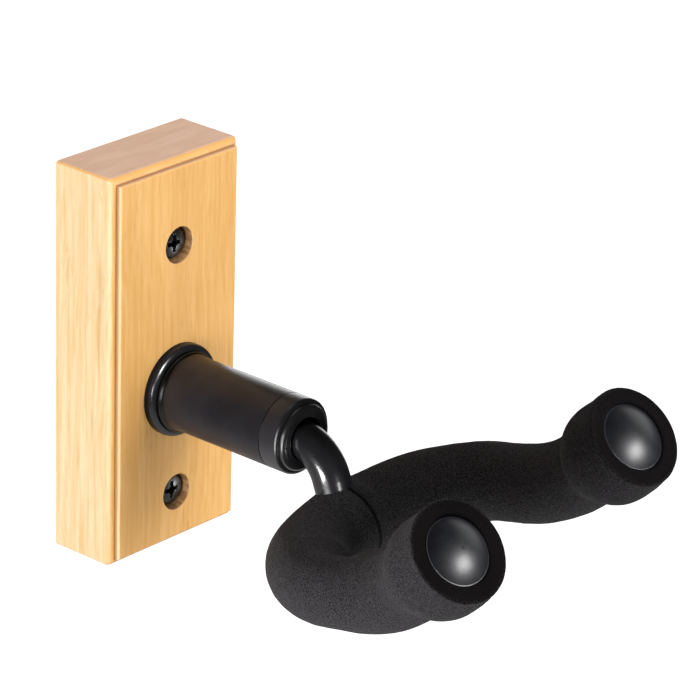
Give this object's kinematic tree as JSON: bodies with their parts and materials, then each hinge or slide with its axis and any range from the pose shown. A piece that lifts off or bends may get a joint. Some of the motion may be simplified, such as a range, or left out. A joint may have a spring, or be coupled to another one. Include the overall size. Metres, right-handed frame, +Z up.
{
  "type": "wall guitar hanger",
  "caption": "Wall hanger for a guitar: a wooden block carries a round housing, and a foam-covered U-shaped yoke swivels in it to hold the headstock.",
  "frame": {"origin": "centre of the wooden block's back face, which lies on the wall", "axes": "+Z up, +Y into the wall along the swivel axis; facing the hanger from the room, +X is to the right"},
  "size_m": [0.1035, 0.1917, 0.12],
  "materials": {
    "wood_block": "satin varnished, fine grain",
    "black_screw": "black phosphate, satin",
    "collar": "satin black",
    "tube": "matt black powder coat",
    "cap": "satin black",
    "bright_steel": "turned",
    "zinc_steel": "zinc plated",
    "nylon": "plain",
    "stem": "satin black",
    "weld": "painted weld",
    "yoke_rod": "satin black",
    "spring_steel": "oiled",
    "tip_cap": "glossy blue-black",
    "foam": "matt closed-cell foam"
  },
  "bodies": {
    "base": {"wood_block": "wood_block", "wall_screw_upper": "black_screw", "wall_screw_lower": "black_screw", "collar_ring": "collar", "swivel_tube": "tube", "end_cap": "cap", "tube_plug": "bright_steel", "bolt_washer": "zinc_steel", "fixing_bolt": "zinc_steel", "front_bush": "nylon", "rear_bush": "nylon"},
    "yoke": {"swivel_stem": "stem", "stem_weld": "weld", "yoke_bar": "yoke_rod", "thrust_washer": "nylon", "cone_spring": "spring_steel", "retaining_clip": "spring_steel", "tip_cap_right": "tip_cap", "tip_cap_left": "tip_cap", "foam_sleeve_right": "foam", "foam_sleeve_left": "foam"}
  },
  "joints": [
    {"name": "yoke_swivel", "type": "hinge", "parent": "base", "child": "yoke", "pos_m": [0, -0.0742, -0.0106], "axis": [0, 1, 0], "continuous": true}
  ]
}
